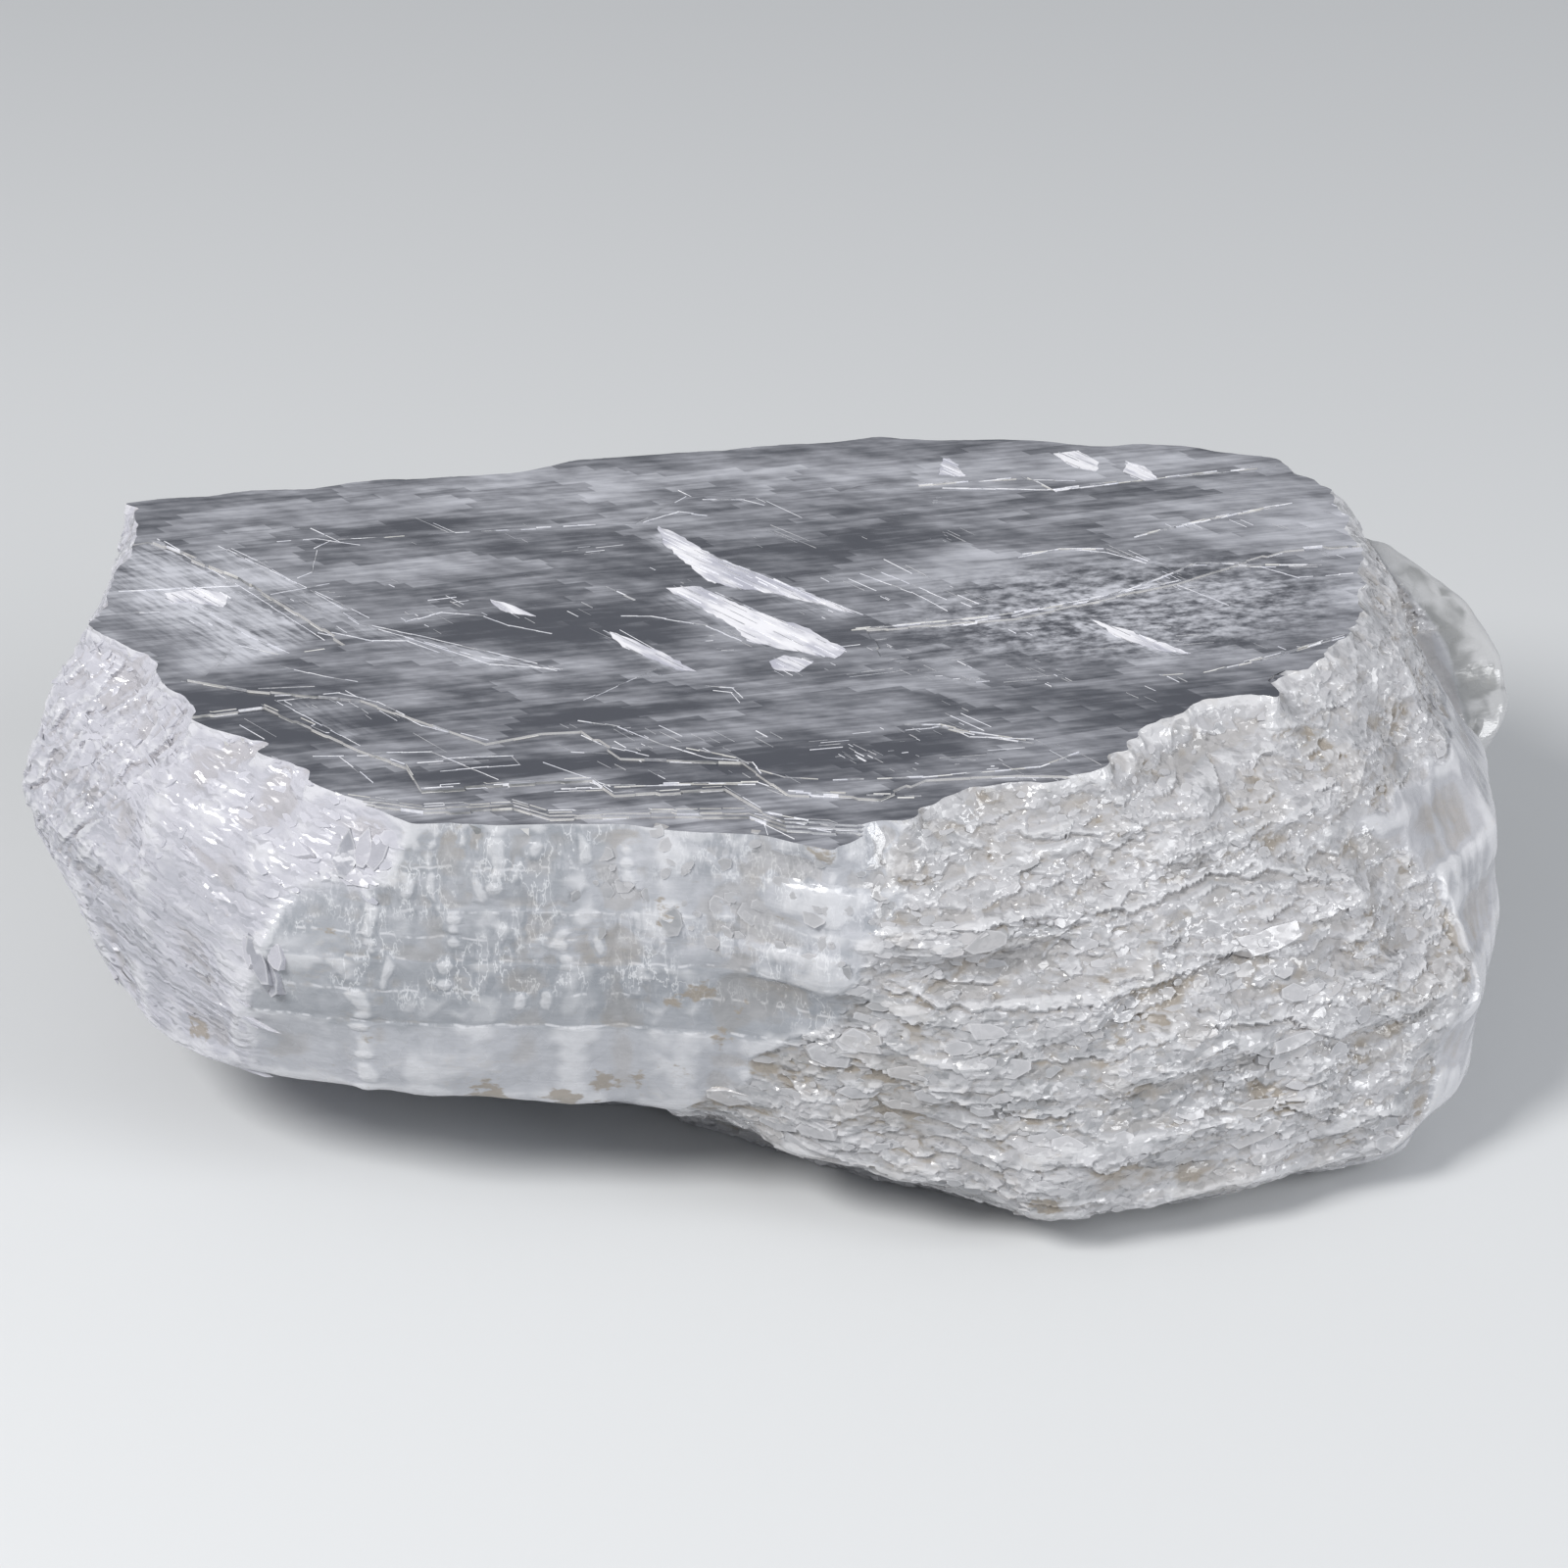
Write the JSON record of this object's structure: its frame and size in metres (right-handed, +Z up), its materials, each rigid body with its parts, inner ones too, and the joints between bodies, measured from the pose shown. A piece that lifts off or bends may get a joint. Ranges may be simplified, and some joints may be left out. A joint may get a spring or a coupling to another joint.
{
  "type": "selenite crystal",
  "caption": "Tabular block of clear selenite with a flat cleaved top, scaly and fibrous broken sides and a small translucent crystal grown onto its back right corner.",
  "frame": {"origin": "centre of the bounding box at its lowest level, in the plane of the foot that the crystal rests on", "axes": "+X along the block's length, +Y from the shown broad side to the back, +Z up, square to the cleaved top face"},
  "size_m": [0.1784, 0.1188, 0.052],
  "materials": {
    "selenite": "clear gypsum: glossy and see-through on the cleaved top, pearly, frosted and dusty in the cracks on the broken sides"
  },
  "bodies": {
    "root": {"selenite_crystal": "selenite"}
  },
  "joints": []
}
